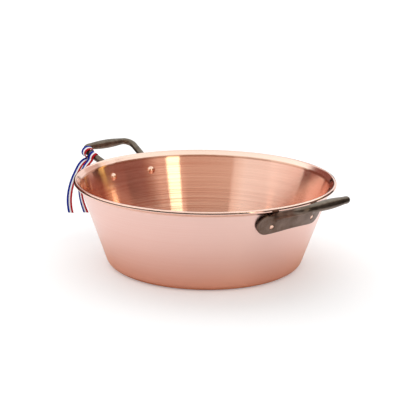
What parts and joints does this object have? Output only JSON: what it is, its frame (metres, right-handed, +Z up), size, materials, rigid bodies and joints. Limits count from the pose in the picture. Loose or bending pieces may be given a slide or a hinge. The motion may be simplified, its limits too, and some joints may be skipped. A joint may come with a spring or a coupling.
{
  "type": "preserving pan",
  "caption": "Wide, shallow open pan with a sloping round wall, a flat base, a rolled wired rim and two riveted bar handles, for boiling fruit, sugar or syrup on a stove.",
  "frame": {"origin": "middle of the flat underside, on the surface that the pan stands on", "axes": "+Z up along the pan's axis; the two handles lie along X, with the handle that carries no ribbon at +X"},
  "size_m": [0.4648, 0.36, 0.1348],
  "materials": {
    "copper_sheet": "satin outside, brushed round inside, bare and untinned",
    "rivet_copper": "polished domes",
    "handle_bronze": "cast, dark patina, satin",
    "rim_steel": "plain drawn wire",
    "ribbon_satin": "woven satin with a blue, a white and a red stripe"
  },
  "bodies": {
    "root": {"pan_body": "copper_sheet", "rim_wire": "rim_steel", "handle_front": "handle_bronze", "handle_rear": "handle_bronze", "rivet_front_left": "rivet_copper", "rivet_front_right": "rivet_copper", "rivet_rear_left": "rivet_copper", "rivet_rear_right": "rivet_copper", "ribbon": "ribbon_satin"}
  },
  "joints": []
}
